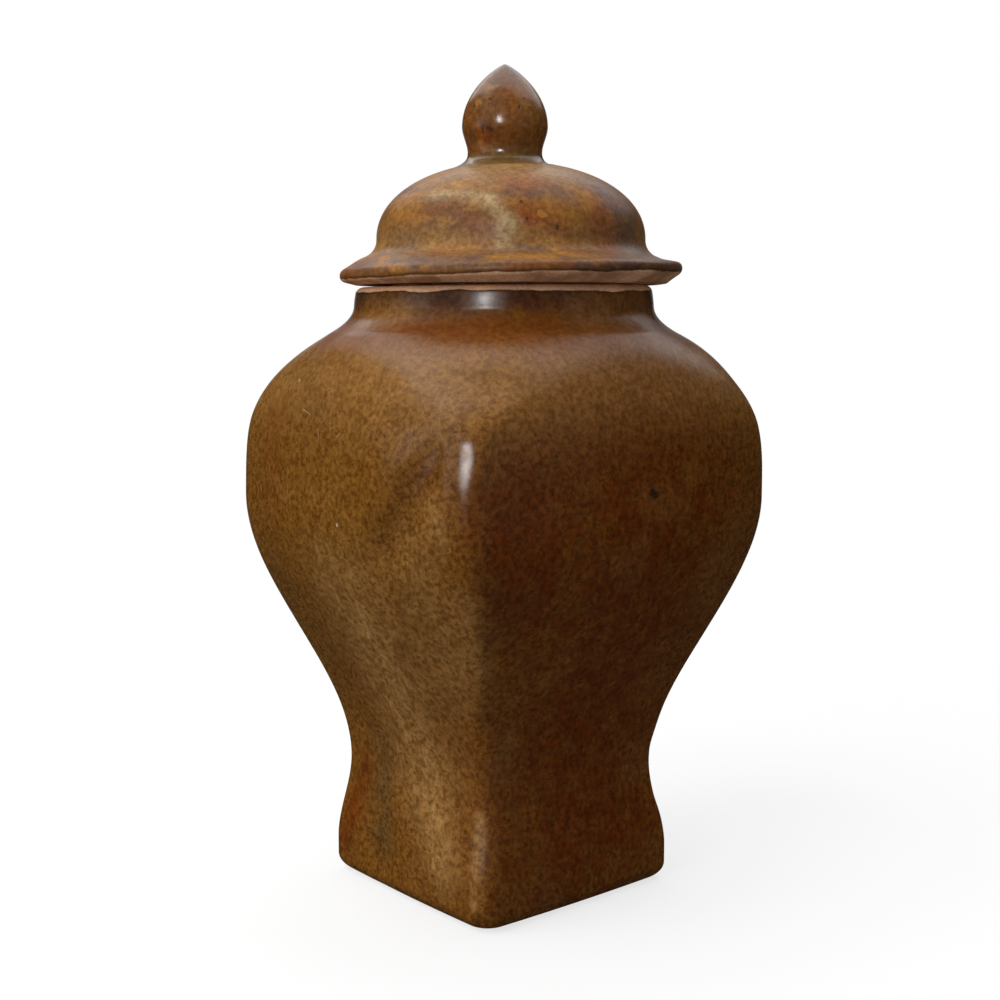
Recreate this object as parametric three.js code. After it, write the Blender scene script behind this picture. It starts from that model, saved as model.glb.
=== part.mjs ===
// A covered jar of glazed stoneware: a square baluster body that turns round at the shoulder,
// and a loose domed lid with a bud finial. Millimetres, +Z up, origin under the middle of the foot.
import * as THREE from 'three';

// Driving dimensions of the jar wall. A half width is measured from the axis to the middle of a
// face, and a swell is how far that middle stands out past the straight line between the corners.
// A softness is the width over which two faces run into each other at a corner.
const JAR_HEIGHT = 175;
const FOOT_HALF = 36.3;
const FOOT_SWELL = 0.7;
const FOOT_WIDE_Z = 10;
const FOOT_EDGE = 5;
const FOOT_SOFTNESS = 4;
const WAIST_HALF = 35.2;
const WAIST_SWELL = 2.8;
const WAIST_RISE = 26;
const BELLY_HALF = 62.9;
const BELLY_SWELL = 7.9;
const BELLY_SOFTNESS = 10;
const SHOULDER_RISE = 46.6;
const SHOULDER_POWER = 3.4;
const WALL = 6.5;

// Driving dimensions of the base slab.
const BASE_THICKNESS = 9;
const BASE_RECESS = 2;
const FOOT_RIM = 9;

// Driving dimensions of the neck ring.
const NECK_RADIUS = 43.2;
const NECK_WALL = 6.5;
const NECK_HEIGHT = 13.4;
const NECK_FLARE = 6.1;
const NECK_FLARE_HEIGHT = 7;
const NECK_TAPER = 0.7;
const MOUTH_ROUNDING = 2.4;

// Driving dimensions of the lid. It lies off centre, pushed over as far as its play allows. At a
// fullness of 2 the dome would be an ellipse, and above that its shoulder stands out further.
const LID_PLAY = 2.4;
const TOUCH_GAP = 0.4;
const LID_PUSH_DIRECTION = THREE.MathUtils.degToRad(50);
const LID_OVERHANG = 5.7;
const FLANGE_WIDTH = 10.5;
const FLANGE_SLOPE = THREE.MathUtils.degToRad(24);
const FLANGE_NOSE = 1.3;
const FLARE_RADIUS = 5;
const DOME_FOOT = 12.5;
const DOME_RISE = 22;
const DOME_FULLNESS = 2.12;
const DOME_WALL = 5;
const COLLAR_WALL = 4;
const COLLAR_DEPTH = 9;
const COLLAR_BEVEL = 1;

// Driving dimensions of the finial, which was luted on a little off the middle of the lid.
const FINIAL_FOOT = 12.2;
const FINIAL_FOOT_EDGE = 0.4;
const FINIAL_OFFSET = 1.7;
const STEM_RADIUS = 10.6;
const STEM_RISE = 3.8;
const BUD_RADIUS = 12.2;
const BUD_LOWER = 7.2;
const BUD_UPPER = 17.5;
const BUD_POWER = 0.83;

// Fineness of the facets.
const SIDES = 40;
const CORNER_CROWDING = 0.55;
const WALL_RINGS = 26;
const ARC_STEPS = 3;
const DOME_STEPS = 6;
const BUD_STEPS = 9;
const SLOPE_STEP = 0.5;

// Heights and radii that follow from the driving dimensions.
const mouthZ = JAR_HEIGHT;
const shoulderZ = mouthZ - NECK_HEIGHT;
const bellyZ = shoulderZ - SHOULDER_RISE;
const waistZ = FOOT_WIDE_Z + WAIST_RISE;
const shoulderRadius = NECK_RADIUS + NECK_FLARE;
const boreRadius = NECK_RADIUS - NECK_WALL;
const collarRadius = boreRadius - LID_PLAY;
const collarInside = collarRadius - COLLAR_WALL;
const flangeRadius = NECK_RADIUS + LID_OVERHANG;
const domeRadius = flangeRadius - FLANGE_WIDTH;
const domePad = FINIAL_FOOT + FINIAL_OFFSET;
const domePadTurn = Math.acos((domePad / domeRadius) ** (DOME_FULLNESS / 2));
const domePadZ = DOME_FOOT + DOME_RISE * Math.sin(domePadTurn) ** (2 / DOME_FULLNESS);

const glaze = { color: 0x6b4420, roughness: 0.42, metalness: 0 };
const bareClay = { color: 0x9a5f45, roughness: 0.85, metalness: 0 };

function named(name, geometry, finish) {
  const mesh = new THREE.Mesh(geometry, new THREE.MeshStandardMaterial(finish));
  mesh.name = name;
  return mesh;
}

// An easing that leaves and arrives level, so that foot, waist and belly flow into each other.
function easeBetween(low, high, lowZ, highZ, z) {
  return THREE.MathUtils.lerp(low, high, THREE.MathUtils.smoothstep(z, lowZ, highZ));
}

// One upright profile of the wall, through its values at the foot, waist, belly and shoulder top.
function wallProfile(foot, waist, belly, shoulder, z) {
  if (z <= FOOT_WIDE_Z) return foot;
  if (z <= waistZ) return easeBetween(foot, waist, FOOT_WIDE_Z, waistZ, z);
  if (z <= bellyZ) return easeBetween(waist, belly, waistZ, bellyZ, z);
  return belly - (belly - shoulder) * ((z - bellyZ) / SHOULDER_RISE) ** SHOULDER_POWER;
}

// The wall's size at a height: half width at mid face, half width of the square through the
// corners, and how softly two faces meet. At the shoulder's top the square has become a circle.
function wallSize(z) {
  const half = wallProfile(FOOT_HALF, WAIST_HALF, BELLY_HALF, shoulderRadius, z);
  const square = wallProfile(
    FOOT_HALF - FOOT_SWELL,
    WAIST_HALF - WAIST_SWELL,
    BELLY_HALF - BELLY_SWELL,
    shoulderRadius * Math.SQRT1_2,
    z,
  );
  const roundness = Math.max(0, z - bellyZ) / SHOULDER_RISE;
  const softness = easeBetween(FOOT_SOFTNESS, BELLY_SOFTNESS, waistZ, bellyZ, z);
  return { half, square, softness: softness * (1 - roundness ** 2) };
}

function inset({ half, square, softness }, depth) {
  return { half: half - depth, square: square - depth, softness };
}

// Distance from the axis to one swelling face, whose arc passes through mid face and both corners.
function faceDistance(angle, half, square) {
  const swell = half - square;
  const radius = (square ** 2 + swell ** 2) / (2 * swell);
  const centre = half - radius;
  const across = centre * Math.sin(angle);
  return centre * Math.cos(angle) + Math.sqrt(radius ** 2 - across ** 2);
}

// The nearer of two neighbouring faces, with the corner between them eased over a soft width.
function sectionRadius(angle, { half, square, softness }) {
  const quarter = Math.PI / 2;
  const fromFace = Math.abs(THREE.MathUtils.euclideanModulo(angle + quarter / 2, quarter) - quarter / 2);
  const near = faceDistance(fromFace, half, square);
  const far = faceDistance(quarter - fromFace, half, square);
  if (softness <= 0) return near;
  const blend = THREE.MathUtils.clamp(0.5 + (far - near) / (2 * softness), 0, 1);
  return THREE.MathUtils.lerp(far, near, blend) - softness * blend * (1 - blend);
}

// A closed ring of the square section, with its points crowded towards the four corners.
function squareRing(size, z) {
  return Array.from({ length: SIDES }, (_, side) => {
    const turn = (2 * Math.PI * side) / SIDES;
    const angle = turn + (CORNER_CROWDING / 4) * Math.sin(4 * turn);
    const radius = sectionRadius(angle, size);
    return new THREE.Vector3(radius * Math.cos(angle), radius * Math.sin(angle), z);
  });
}

function roundRing(radius, z) {
  return squareRing({ half: radius, square: radius * Math.SQRT1_2, softness: 0 }, z);
}

// A skin carried from ring to ring, upward outside and downward inside. It closes by joining the
// last ring to the first, or by a middle point in the first and in the last ring.
function loft(rings, middles) {
  const points = rings.flat();
  const index = [];
  const bands = middles ? rings.length - 1 : rings.length;
  for (let band = 0; band < bands; band += 1) {
    const low = band * SIDES;
    const high = ((band + 1) % rings.length) * SIDES;
    for (let side = 0; side < SIDES; side += 1) {
      const next = (side + 1) % SIDES;
      index.push(low + side, low + next, high + next, low + side, high + next, high + side);
    }
  }
  if (middles) {
    const first = points.length;
    const last = first + 1;
    const lastRing = (rings.length - 1) * SIDES;
    points.push(new THREE.Vector3(0, 0, middles[0]), new THREE.Vector3(0, 0, middles[1]));
    for (let side = 0; side < SIDES; side += 1) {
      const next = (side + 1) % SIDES;
      index.push(first, next, side, last, lastRing + side, lastRing + next);
    }
  }
  const geometry = new THREE.BufferGeometry().setFromPoints(points);
  geometry.setIndex(index);
  geometry.computeVertexNormals();
  return geometry;
}

// A round piece turned about the upright axis from a profile of radius and height.
function turned(profile) {
  return new THREE.LatheGeometry(profile, SIDES).rotateX(Math.PI / 2);
}

// The base slab: a rounded foot edge, a flat rim to stand on and a shallow recess inside the rim.
function jarBase() {
  const foot = wallSize(0);
  const recess = inset(foot, FOOT_EDGE + FOOT_RIM);
  const rings = [squareRing(inset(recess, BASE_RECESS), BASE_RECESS), squareRing(recess, 0)];
  for (let step = 0; step <= ARC_STEPS; step += 1) {
    const turn = (Math.PI / 2) * (step / ARC_STEPS);
    const edge = inset(foot, FOOT_EDGE * (1 - Math.sin(turn)));
    rings.push(squareRing(edge, FOOT_EDGE * (1 - Math.cos(turn))));
  }
  rings.push(squareRing(wallSize(BASE_THICKNESS), BASE_THICKNESS));
  return loft(rings, [BASE_RECESS, BASE_THICKNESS]);
}

// One ring of the inside, a wall's thickness in from the outside along the slope of the mid face.
function insideRing(z) {
  const slope = (wallSize(z).half - wallSize(z - SLOPE_STEP).half) / SLOPE_STEP;
  const lean = Math.hypot(1, slope);
  return squareRing(inset(wallSize(z), WALL / lean), z + (WALL * slope) / lean);
}

// The moulded wall, open below on the base slab and above into the neck ring.
function jarBody() {
  const rise = (shoulderZ - BASE_THICKNESS) / WALL_RINGS;
  const rings = [squareRing(inset(wallSize(BASE_THICKNESS), WALL), BASE_THICKNESS)];
  for (let step = 0; step <= WALL_RINGS; step += 1) {
    const z = BASE_THICKNESS + step * rise;
    rings.push(squareRing(wallSize(z), z));
  }
  rings.push(roundRing(boreRadius, shoulderZ), roundRing(boreRadius, shoulderZ - NECK_WALL / 2));
  for (let step = WALL_RINGS; step > 1; step -= 2) {
    rings.push(insideRing(BASE_THICKNESS + step * rise));
  }
  return loft(rings);
}

// The neck ring: a root that flares into the shoulder and runs on as a slight taper, and a mouth
// rim with a flat seat between two rounded edges.
function neckCollar() {
  const rim = NECK_RADIUS - NECK_TAPER;
  const round = MOUTH_ROUNDING;
  const lean = NECK_TAPER / (NECK_HEIGHT - round);
  const halfFlare = NECK_FLARE_HEIGHT / 2;
  const flareTop = NECK_RADIUS - lean * NECK_FLARE_HEIGHT;
  const profile = new THREE.Path();
  profile.moveTo(boreRadius, 0);
  profile.lineTo(shoulderRadius, 0);
  profile.quadraticCurveTo(flareTop + lean * halfFlare, halfFlare, flareTop, NECK_FLARE_HEIGHT);
  profile.lineTo(rim, NECK_HEIGHT - round);
  profile.absarc(rim - round, NECK_HEIGHT - round, round, 0, Math.PI / 2, false);
  profile.lineTo(boreRadius + round, NECK_HEIGHT);
  profile.absarc(boreRadius + round, NECK_HEIGHT - round, round, Math.PI / 2, Math.PI, false);
  profile.lineTo(boreRadius, 0);
  return turned(profile.getPoints(ARC_STEPS));
}

// The domed lid, hollow from below. Its flange has a lens-shaped edge: the top slopes down to a
// round nose and the underside slopes back in to the flat seat that lies on the mouth rim.
function lidDome() {
  const noseAngle = Math.PI / 2 - FLANGE_SLOPE;
  const fall = Math.tan(FLANGE_SLOPE);
  const flareX = domeRadius + FLARE_RADIUS;
  const flareEnd = new THREE.Vector2(
    flareX - FLARE_RADIUS * Math.cos(noseAngle),
    DOME_FOOT - FLARE_RADIUS * Math.sin(noseAngle),
  );
  const noseX = flangeRadius - FLANGE_NOSE;
  const noseTop = noseX + FLANGE_NOSE * Math.cos(noseAngle);
  const noseReach = FLANGE_NOSE * Math.sin(noseAngle);
  const noseZ = flareEnd.y - fall * (noseTop - flareEnd.x) - noseReach;
  const seatEdge = noseTop - (noseZ - noseReach) / fall;
  const hollow = domeRadius - DOME_WALL;
  const crown = DOME_RISE - DOME_WALL;
  const quarter = Math.PI / 2;

  const inside = new THREE.Path();
  inside.absellipse(0, DOME_FOOT, hollow, crown, quarter, 0, true);
  inside.lineTo(collarInside, COLLAR_WALL);
  inside.lineTo(collarInside, 0);
  inside.lineTo(seatEdge, 0);
  const flange = new THREE.Path();
  flange.absarc(noseX, noseZ, FLANGE_NOSE, -noseAngle, noseAngle, false);
  flange.lineTo(flareEnd.x, flareEnd.y);
  const flare = new THREE.Path();
  flare.absarc(flareX, DOME_FOOT, FLARE_RADIUS, Math.PI + noseAngle, Math.PI, true);
  const dome = Array.from({ length: DOME_STEPS }, (_, step) => {
    const turn = (domePadTurn * (step + 1)) / DOME_STEPS;
    return new THREE.Vector2(
      domeRadius * Math.cos(turn) ** (2 / DOME_FULLNESS),
      DOME_FOOT + DOME_RISE * Math.sin(turn) ** (2 / DOME_FULLNESS),
    );
  });

  const profile = [
    ...inside.getPoints(DOME_STEPS),
    ...flange.getPoints(ARC_STEPS),
    ...flare.getPoints(ARC_STEPS).slice(1),
    ...dome,
    new THREE.Vector2(0, domePadZ),
  ];
  profile[0].x = 0;
  return turned(profile);
}

// The ring under the lid that keeps it in the mouth, with its lower edges bevelled.
function lidLocatingCollar() {
  const profile = new THREE.Path();
  profile.moveTo(collarInside, 0);
  profile.lineTo(collarInside, COLLAR_BEVEL - COLLAR_DEPTH);
  profile.lineTo(collarInside + COLLAR_BEVEL, -COLLAR_DEPTH);
  profile.lineTo(collarRadius - COLLAR_BEVEL, -COLLAR_DEPTH);
  profile.lineTo(collarRadius, COLLAR_BEVEL - COLLAR_DEPTH);
  profile.lineTo(collarRadius, 0);
  profile.lineTo(collarInside, 0);
  return turned(profile.getPoints());
}

// The bud finial: a short spread foot, a stem, and a bud that draws in to a rounded point.
function lidFinial() {
  const bud = STEM_RISE + BUD_LOWER;
  const profile = [new THREE.Vector2(0, 0), new THREE.Vector2(FINIAL_FOOT, 0)];
  const root = new THREE.QuadraticBezierCurve(
    new THREE.Vector2(FINIAL_FOOT, FINIAL_FOOT_EDGE),
    new THREE.Vector2(STEM_RADIUS, FINIAL_FOOT_EDGE),
    new THREE.Vector2(STEM_RADIUS, STEM_RISE),
  );
  profile.push(...root.getPoints(ARC_STEPS));
  for (let step = 1; step <= ARC_STEPS; step += 1) {
    const rise = step / ARC_STEPS;
    const radius = THREE.MathUtils.lerp(STEM_RADIUS, BUD_RADIUS, THREE.MathUtils.smoothstep(rise, 0, 1));
    profile.push(new THREE.Vector2(radius, STEM_RISE + BUD_LOWER * rise));
  }
  for (let step = 1; step <= BUD_STEPS; step += 1) {
    const rise = Math.sin((Math.PI / 2) * (step / BUD_STEPS));
    const radius = step === BUD_STEPS ? 0 : BUD_RADIUS * (1 - rise ** 2) ** BUD_POWER;
    profile.push(new THREE.Vector2(radius, bud + BUD_UPPER * rise));
  }
  return turned(profile);
}

const jar = new THREE.Group();
const neck = named('neck_collar', neckCollar(), glaze);
neck.position.z = shoulderZ;
jar.add(named('jar_base', jarBase(), glaze), named('jar_body', jarBody(), glaze), neck);

const lid = new THREE.Group();
const push = LID_PLAY - TOUCH_GAP;
lid.position.set(push * Math.cos(LID_PUSH_DIRECTION), push * Math.sin(LID_PUSH_DIRECTION), mouthZ);
const finial = named('lid_finial', lidFinial(), glaze);
finial.position.set(
  -FINIAL_OFFSET * Math.cos(LID_PUSH_DIRECTION),
  -FINIAL_OFFSET * Math.sin(LID_PUSH_DIRECTION),
  domePadZ,
);
lid.add(
  named('lid_dome', lidDome(), glaze),
  named('lid_locating_collar', lidLocatingCollar(), bareClay),
  finial,
);

const canister = new THREE.Group();
canister.add(jar, lid);

export default canister;
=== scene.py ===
"""Looks of a covered stoneware jar: a square baluster body that turns round at the shoulder, and a
loose domed lid with a bud finial, under a speckled olive-brown glaze. Lengths are in metres, in the
frame of the solids."""
import math

import bpy
import numpy as np
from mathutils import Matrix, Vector


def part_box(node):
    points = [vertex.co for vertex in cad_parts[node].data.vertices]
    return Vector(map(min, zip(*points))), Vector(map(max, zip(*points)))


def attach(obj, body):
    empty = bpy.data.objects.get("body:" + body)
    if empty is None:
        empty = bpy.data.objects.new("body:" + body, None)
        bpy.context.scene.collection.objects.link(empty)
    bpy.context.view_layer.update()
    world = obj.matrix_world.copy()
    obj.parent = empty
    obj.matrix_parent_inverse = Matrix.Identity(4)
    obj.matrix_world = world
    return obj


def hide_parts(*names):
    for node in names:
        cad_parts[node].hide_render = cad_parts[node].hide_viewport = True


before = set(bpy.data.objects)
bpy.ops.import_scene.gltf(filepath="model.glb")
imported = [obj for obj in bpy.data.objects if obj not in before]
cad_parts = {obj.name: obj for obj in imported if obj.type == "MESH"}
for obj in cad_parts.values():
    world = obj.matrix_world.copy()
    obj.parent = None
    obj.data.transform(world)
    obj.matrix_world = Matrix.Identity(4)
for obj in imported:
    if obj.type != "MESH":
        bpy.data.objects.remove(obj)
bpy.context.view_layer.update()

# Sizes that the solids give. The wall keeps a little room, because its twist widens its box. The neck
# and the lid lean a little to one side.
MM = 0.001
TWIST_ROOM = 0.1 * MM
LEAN_SIDE = math.radians(50)
LEAN = 1.1 * MM * np.array([math.cos(LEAN_SIDE), math.sin(LEAN_SIDE)])
LEAN_LOW_Z = 146 * MM
_, base_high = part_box("jar_base")
_, wall_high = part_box("jar_body")
_, neck_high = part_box("neck_collar")
dome_low, dome_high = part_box("lid_dome")
collar_low, collar_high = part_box("lid_locating_collar")
finial_low, finial_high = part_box("lid_finial")
FOOT_HALF = base_high.x
BASE_TOP = base_high.z
BELLY_HALF = wall_high.x - TWIST_ROOM
SHOULDER_Z = wall_high.z
SHOULDER_RADIUS = neck_high.x
MOUTH_Z = neck_high.z
LID_CENTRE = np.array((dome_low + dome_high) / 2)[:2] + LEAN
FLANGE_RADIUS = (dome_high.x - dome_low.x) / 2
PAD_Z = dome_high.z
COLLAR_RADIUS = (collar_high.x - collar_low.x) / 2
COLLAR_LOW_Z = collar_low.z
FINIAL_CENTRE = np.array((finial_low + finial_high) / 2)[:2] + LEAN
BUD_RADIUS = (finial_high.x - finial_low.x) / 2
FINIAL_TOP = finial_high.z

# Sizes of the wall, as in the solids. A swell is how far a face's middle stands out past its corners.
FOOT_SWELL = 0.7 * MM
FOOT_WIDE_Z = 10 * MM
FOOT_EDGE = 5 * MM
FOOT_RIM = 9 * MM
BASE_RECESS = 2 * MM
WAIST_HALF = 35.2 * MM
WAIST_SWELL = 2.8 * MM
WAIST_Z = 36 * MM
BELLY_SWELL = 7.9 * MM
BELLY_Z = 115 * MM
SHOULDER_POWER = 3.4
FOOT_SOFTNESS = 4 * MM
BELLY_SOFTNESS = 10 * MM
WALL = 6.5 * MM

# Sizes of the neck ring and of the lid.
NECK_RADIUS = 43.2 * MM
NECK_WALL = 6.5 * MM
NECK_FLARE_HEIGHT = 7 * MM
NECK_TAPER = 0.7 * MM
LIP_LEAN = math.radians(9)
LIP_POWER = 2.5
MOUTH_ROUNDING = 2.4 * MM
FLANGE_WIDTH = 10.5 * MM
FLANGE_SLOPE = math.radians(24)
FLANGE_NOSE = 2 * MM
FLARE_RADIUS = 5 * MM
DOME_FOOT = 12.5 * MM
DOME_RISE = 22 * MM
DOME_FULLNESS = 2.12
DOME_WALL = 5 * MM
COLLAR_WALL = 4 * MM
COLLAR_ROUNDING = 1 * MM
FINIAL_FOOT = 12.2 * MM
FINIAL_SPREAD = 16.5 * MM
STEM_RADIUS = 10.6 * MM
STEM_RISE = 3.8 * MM
BUD_LOWER = 7.2 * MM
BUD_POWER = 0.83
BORE_RADIUS = NECK_RADIUS - NECK_WALL
DOME_RADIUS = FLANGE_RADIUS - FLANGE_WIDTH

# How far the glaze stops short of the foot, the mouth and the bore, how far it runs over the lid's edge,
# and the values that stand for clay alone and glaze alone.
FOOT_BARE = 1 * MM
MOUTH_BARE = 2 * MM
BORE_BARE = 6 * MM
NOSE_GLAZED = 1.1 * MM
UNGLAZED = -20 * MM
GLAZED = 20 * MM

# Dents of the hand in the wall: two places, each an angle in degrees and a height in millimetres, then
# a spread and a depth in millimetres.
DENTS = [
    ((-53, 132), (-65, 108), 5.5, 1.7),
    ((-112, 46), (-108, 12), 7, 1.2),
    ((44, 39), (44, 26), 5, 0.6),
    ((-46, 3), (-47, 0), 1.6, 0.8),
]

# The upper half of the wall is twisted a little.
TWIST = math.radians(-2)
TWIST_LOW_Z = 92 * MM
TWIST_HIGH_Z = 130 * MM

# The front ridge is crisper than the others over the belly, and blunter at the foot and where it runs
# out on the shoulder: its angle, how much softness it loses and gains, and the heights between which
# each comes and goes.
FRONT = math.radians(-45)
RIDGE_CRISP = 5.5 * MM
CRISP_LOW_Z = 50 * MM
CRISP_FULL_Z = 75 * MM
CRISP_TOP_Z = 112 * MM
CRISP_END_Z = 146 * MM
FOOT_BLUNT = 4.5 * MM
BLUNT_LOW_Z = 12 * MM
BLUNT_END_Z = 48 * MM
SHOULDER_SOFTNESS = 12 * MM
SOFT_LOW_Z = 135 * MM
SOFT_MID_Z = 149 * MM

# Where the front ridge is rubbed flat: a place, the flat's facing as two angles in degrees, and how deep
# and how softly it is rubbed.
RIDGE_TOP = (-47, 131)
RIDGE_FACING = (-47.6, 10.5)
RIDGE_WEAR = 0.45 * MM
RIDGE_EASE = 0.4 * MM

# The mouth sags a little on one side, where a gap shows under the lid.
MOUTH_SAG = 0.8 * MM
MOUTH_SAG_SIDE = math.radians(-110)
MOUTH_SAG_HEIGHT = 6 * MM

# The lid's flange warped in the kiln: how far it rises in the mean, and how much more on one side.
FLANGE_LIFT = 0.2 * MM
FLANGE_WARP = 1.1 * MM
FLANGE_WARP_SIDE = math.radians(50)

# Fineness of the grids: points round each piece, how far the jar's crowd towards its corners, and rows of
# each stretch from the foot up.
JAR_SIDES = 384
LID_SIDES = 320
FINIAL_SIDES = 160
FLOOR_SIDES = 96
CORNER_CROWDING = 0.55
RECESS_ROWS = 8
RIM_ROWS = 5
EDGE_ROWS = 14
PLINTH_ROWS = 6
WALL_ROWS = 180
INSIDE_ROWS = 44
NECK_ROWS = 28
MOUTH_ROWS = 12
LIP_ROWS = 10
BORE_ROWS = 8
CEILING_ROWS = 26
SEAT_ROWS = 8
BEVEL_ROWS = 8
NOSE_ROWS = 22
SLOPE_ROWS = 9
FLARE_ROWS = 14
CROWN_ROWS = 44
COLLAR_ROWS = 6
COLLAR_ROUND_ROWS = 7
ROOT_ROWS = 20
SWELL_ROWS = 16
BUD_ROWS = 48

# Small steps and shares in the grids: the step that the wall's slope is taken over, the least drop between
# rows of its inside, the least softness of a corner, and the last rings before the base's two middles.
SLOPE_STEP = 0.5 * MM
ROW_DROP = 0.2 * MM
LEAST_SOFTNESS = 0.001 * MM
RECESS_RING = 0.5
TOP_RING = 0.6


def smooth(value, low, high):
    """Smoothstep: 0 up to low, 1 from high, and 3t*t - 2t*t*t of the share t between them."""
    share = np.clip((value - low) / (high - low), 0, 1)
    return share * share * (3 - 2 * share)


def heading(azimuth, elevation):
    """The unit vector that points at an angle round the jar and an angle above the floor."""
    flat = math.cos(elevation)
    return Vector((flat * math.cos(azimuth), flat * math.sin(azimuth), math.sin(elevation)))


def closed_mesh(name, rings, ends, reach, seams=()):
    """A closed mesh over rings[row, side, xyz]. Each row is joined to the next one and round on itself.
    The last row joins the first where ends is "joined", and each end row runs into a middle point where
    it is "poles". The reach, kept as an attribute, is how far each row lies inside the glaze's border.
    A seam is a row and its normals, given so that two pieces shade as one where they meet."""
    rows, sides = rings.shape[:2]
    points = rings.reshape(-1, 3)
    side = np.arange(sides)
    after = (side + 1) % sides
    low = np.arange(rows if ends == "joined" else rows - 1)[:, None] * sides
    high = (low + sides) % (rows * sides)
    quads = np.stack([low + side, low + after, high + after, high + side], axis=-1).reshape(-1, 4)
    faces = quads.tolist()
    if ends == "poles":
        first, last = rows * sides, rows * sides + 1
        points = np.vstack([points, rings[0].mean(axis=0), rings[-1].mean(axis=0)])
        top = (rows - 1) * sides
        faces += np.stack([np.full(sides, first), after, side], axis=-1).tolist()
        faces += np.stack([np.full(sides, last), top + side, top + after], axis=-1).tolist()
    mesh = bpy.data.meshes.new(name)
    mesh.from_pydata(points.tolist(), [], faces, shade_flat=False)
    mesh.update()
    if seams:
        normals = np.zeros((len(points), 3))
        for row, ring_normals in seams:
            normals[row * sides:(row + 1) * sides] = ring_normals
        mesh.normals_split_custom_set_from_vertices(normals.tolist())
    row_reach = np.broadcast_to(reach, rows)
    reaches = np.repeat(row_reach, sides)
    if ends == "poles":
        reaches = np.append(reaches, row_reach[[0, -1]])
    mesh.attributes.new("glaze_reach", "FLOAT", "POINT").data.foreach_set("value", reaches)
    piece = bpy.data.objects.new(name, mesh)
    bpy.context.scene.collection.objects.link(piece)
    return piece


def turns(sides):
    """One row of even angles once round the axis."""
    return np.linspace(0, 2 * np.pi, sides, endpoint=False)[None, :]


def ring_points(radius, angle, z, centre=(0, 0)):
    """Points at a radius and angle about an upright axis, with radius and z broadcast over the angles."""
    radius, angle, z = np.broadcast_arrays(radius, angle, z)
    x = centre[0] + radius * np.cos(angle)
    y = centre[1] + radius * np.sin(angle)
    return np.stack([x, y, z], axis=-1)


def grid_normals(rings):
    """Unit normals of a grid of rings: the step round each ring crossed with the step up the rows."""
    around = np.roll(rings, -1, axis=1) - np.roll(rings, 1, axis=1)
    normals = np.cross(around, np.gradient(rings, axis=0))
    return normals / np.linalg.norm(normals, axis=-1, keepdims=True)


# The jar.
def corner_angles():
    """Even turns round the axis, drawn towards the four corners by a sine of four waves."""
    turn = turns(JAR_SIDES)
    return turn + CORNER_CROWDING / 4 * np.sin(4 * turn)


def shoulder_share(z):
    """The share of the way from the belly up to the shoulder, 0 below and 1 above."""
    return np.clip((z - BELLY_Z) / (SHOULDER_Z - BELLY_Z), 0, 1)


def wall_profile(z, foot, waist, belly, shoulder):
    """One upright profile: level at the foot, smoothsteps to the waist and on to the belly, and over the
    belly a fall to the shoulder's value by a power of the share of the way up."""
    lower = foot + (waist - foot) * smooth(z, FOOT_WIDE_Z, WAIST_Z)
    middle = waist + (belly - waist) * smooth(z, WAIST_Z, BELLY_Z)
    upper = belly - (belly - shoulder) * shoulder_share(z) ** SHOULDER_POWER
    return np.where(z <= WAIST_Z, lower, np.where(z <= BELLY_Z, middle, upper))


def wall_half(z):
    """Half width of the wall at mid face."""
    return wall_profile(z, FOOT_HALF, WAIST_HALF, BELLY_HALF, SHOULDER_RADIUS)


def face_distance(angle, half, square):
    """Distance along a direction to one face, an arc with its middle at half and its corners at square."""
    swell = half - square
    radius = (square ** 2 + swell ** 2) / (2 * swell)
    centre = half - radius
    return centre * np.cos(angle) + np.sqrt(radius ** 2 - (centre * np.sin(angle)) ** 2)


def section_radius(angle, z, inset=0):
    """Radius of the wall's section: the nearer of two neighbouring faces, eased over a soft corner. The
    angle is first turned back by the wall's twist, a smoothstep of the height. The front corner is crisper
    or softer by smoothsteps of the height, times the cosine of half the angle from it to the power four."""
    angle = angle - TWIST * smooth(z, TWIST_LOW_Z, TWIST_HIGH_Z)
    half = wall_half(z) - inset
    square = wall_profile(z, FOOT_HALF - FOOT_SWELL, WAIST_HALF - WAIST_SWELL, BELLY_HALF - BELLY_SWELL,
                          SHOULDER_RADIUS * math.sqrt(0.5)) - inset
    soft = FOOT_SOFTNESS + (BELLY_SOFTNESS - FOOT_SOFTNESS) * smooth(z, WAIST_Z, BELLY_Z)
    soft = soft * (1 - shoulder_share(z) ** 2)
    crisper = RIDGE_CRISP * smooth(z, CRISP_LOW_Z, CRISP_FULL_Z) * (1 - smooth(z, CRISP_TOP_Z, CRISP_END_Z))
    softer = SHOULDER_SOFTNESS * smooth(z, SOFT_LOW_Z, SOFT_MID_Z) * (1 - smooth(z, SOFT_MID_Z, SHOULDER_Z))
    softer = softer + FOOT_BLUNT * (1 - smooth(z, BLUNT_LOW_Z, BLUNT_END_Z))
    front = ((1 + np.cos(angle - FRONT)) / 2) ** 2
    softness = np.maximum(soft + (softer - crisper) * front, LEAST_SOFTNESS)
    quarter = math.pi / 2
    from_face = np.abs((angle + quarter / 2) % quarter - quarter / 2)
    near = face_distance(from_face, half, square)
    far = face_distance(quarter - from_face, half, square)
    blend = np.clip(0.5 + (far - near) / (2 * softness), 0, 1)
    return far + (near - far) * blend - softness * blend * (1 - blend)


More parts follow.
